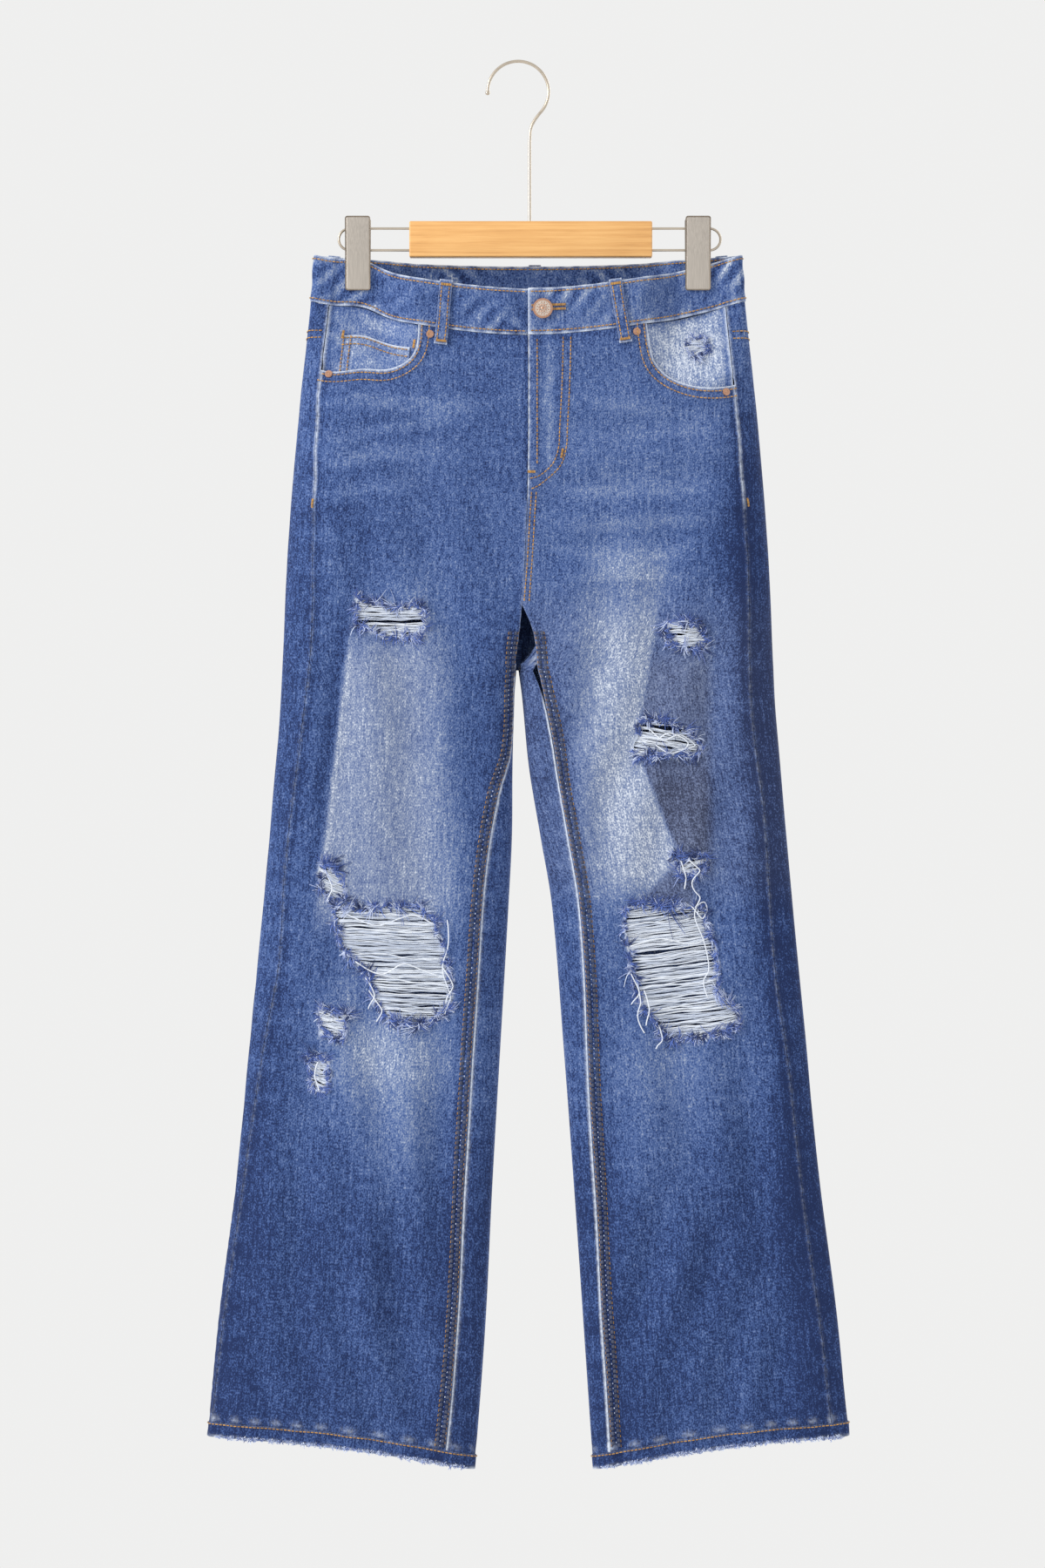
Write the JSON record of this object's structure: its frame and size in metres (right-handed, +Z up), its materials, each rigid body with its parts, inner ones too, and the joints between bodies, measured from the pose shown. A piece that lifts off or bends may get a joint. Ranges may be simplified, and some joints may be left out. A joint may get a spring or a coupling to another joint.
{
  "type": "ripped jeans on a clip hanger",
  "caption": "Faded denim jeans with flared legs and frayed rips at thighs and knees, hung flat by the waistband from a hanger with a wooden bar, a wire loop and metal clips.",
  "frame": {"origin": "the inside top of the hook, where a rod carries it", "axes": "+Z up, the front of the jeans faces -Y, +X towards the wearer's left leg"},
  "size_m": [0.5596, 0.0572, 1.2255],
  "materials": {
    "denim": "mid-blue washed twill, matt",
    "pale_denim": "heavily washed twill, matt",
    "thread": "loose undyed cotton threads",
    "zip_tape": "woven tape, matt",
    "copper": "brushed copper plate",
    "steel": "satin nickel",
    "wood": "clear satin varnish"
  },
  "bodies": {
    "root": {"front_left": "denim", "back_left": "denim", "yoke_left": "denim", "hem_left": "denim", "back_pocket_left": "denim", "pocket_facing_left": "pale_denim", "thigh_threads_left": "thread", "knee_threads_left": "thread", "clip_left_front": "steel", "clip_left_back": "steel", "clip_left_spring": "steel", "front_right": "denim", "back_right": "denim", "yoke_right": "denim", "hem_right": "denim", "back_pocket_right": "denim", "pocket_facing_right": "pale_denim", "thigh_threads_right": "thread", "knee_threads_right": "thread", "clip_right_front": "steel", "clip_right_back": "steel", "clip_right_spring": "steel", "waistband": "denim", "fly_shield": "denim", "belt_loop_1": "denim", "belt_loop_2": "denim", "belt_loop_3": "denim", "belt_loop_4": "denim", "belt_loop_5": "denim", "coin_pocket": "pale_denim", "zip": "zip_tape", "zip_slider": "copper", "button": "copper", "rivet_1": "copper", "rivet_2": "copper", "rivet_3": "copper", "rivet_4": "copper", "hook": "steel", "wire_loop": "steel", "bar": "wood"}
  },
  "joints": []
}
